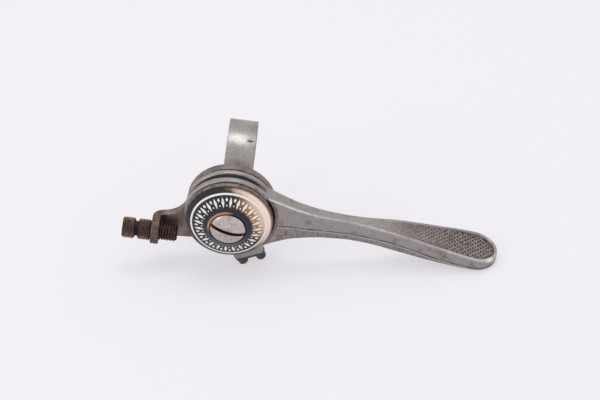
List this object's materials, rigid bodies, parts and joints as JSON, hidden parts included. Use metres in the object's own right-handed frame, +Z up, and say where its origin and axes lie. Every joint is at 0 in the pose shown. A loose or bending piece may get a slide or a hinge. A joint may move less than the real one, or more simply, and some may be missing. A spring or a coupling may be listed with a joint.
{
  "type": "thumb shifter",
  "caption": "Clamp-on friction gear lever for a bicycle: slim band clamp, cast lever with cable drum and knurled thumb paddle, domed cap, slotted friction screw and a knurled cable adjuster.",
  "frame": {"origin": "where the lever's pivot axis crosses the axis of the bar that the band clamps", "axes": "+X along the bar and towards the lever's tip, +Z up, and the pivot axis runs forwards along -Y"},
  "size_m": [0.1052, 0.0444, 0.0336],
  "materials": {
    "band_steel": "zinc-plated strip steel, satin",
    "screw_steel": "plated screw steel, dulled",
    "base_steel": "pressed steel, aged brown",
    "post_steel": "turned and sprung steel",
    "fibre": "pressed friction fibre, oiled dark",
    "plate_steel": "blanked steel, aged brown",
    "cap_enamel": "gloss black enamel with a white printed ornament on domed metal",
    "lever_alloy": "die-cast alloy, bead-satin, handled",
    "bush_brass": "turned brass",
    "clamp_steel": "small blackened steel screws and bar",
    "pivot_screw_nickel": "nickel-plated, satin from wear",
    "adjuster_steel": "knurled steel, aged brown with rust in the knurl"
  },
  "bodies": {
    "clamp": {"clamp_band": "band_steel", "pinch_screw": "screw_steel", "pinch_washer": "screw_steel", "pinch_nut": "screw_steel", "clamp_saddle": "band_steel", "base_plate": "base_steel", "pivot_post": "post_steel", "stop_pin": "post_steel", "rear_friction_washer": "fibre", "front_friction_washer": "fibre", "friction_plate": "plate_steel", "spring_washer": "post_steel", "thrust_washer": "post_steel", "cap": "cap_enamel"},
    "lever": {"lever": "lever_alloy", "pivot_bush": "bush_brass", "cable_clamp_bar": "clamp_steel", "cable_clamp_screws": "clamp_steel"},
    "pivot_screw": {"pivot_screw": "pivot_screw_nickel"},
    "adjuster_barrel": {"adjuster_barrel": "adjuster_steel"},
    "adjuster_locknut": {"adjuster_locknut": "adjuster_steel"}
  },
  "joints": [
    {"name": "lever_pivot", "type": "hinge", "parent": "clamp", "child": "lever", "pos_m": [0, -0.02129, 0], "axis": [0, -1, 0], "range_deg": [-20, 100]},
    {"name": "friction_screw_turn", "type": "hinge", "parent": "clamp", "child": "pivot_screw", "pos_m": [0, -0.029, 0], "axis": [0, -1, 0], "range_deg": [-360, 90]},
    {"name": "adjuster_turn", "type": "hinge", "parent": "clamp", "child": "adjuster_barrel", "pos_m": [-0.0206, -0.0212, -0.0104], "axis": [1, 0, 0], "continuous": true},
    {"name": "locknut_turn", "type": "hinge", "parent": "adjuster_barrel", "child": "adjuster_locknut", "pos_m": [-0.0235, -0.0212, -0.0104], "axis": [1, 0, 0], "continuous": true}
  ]
}
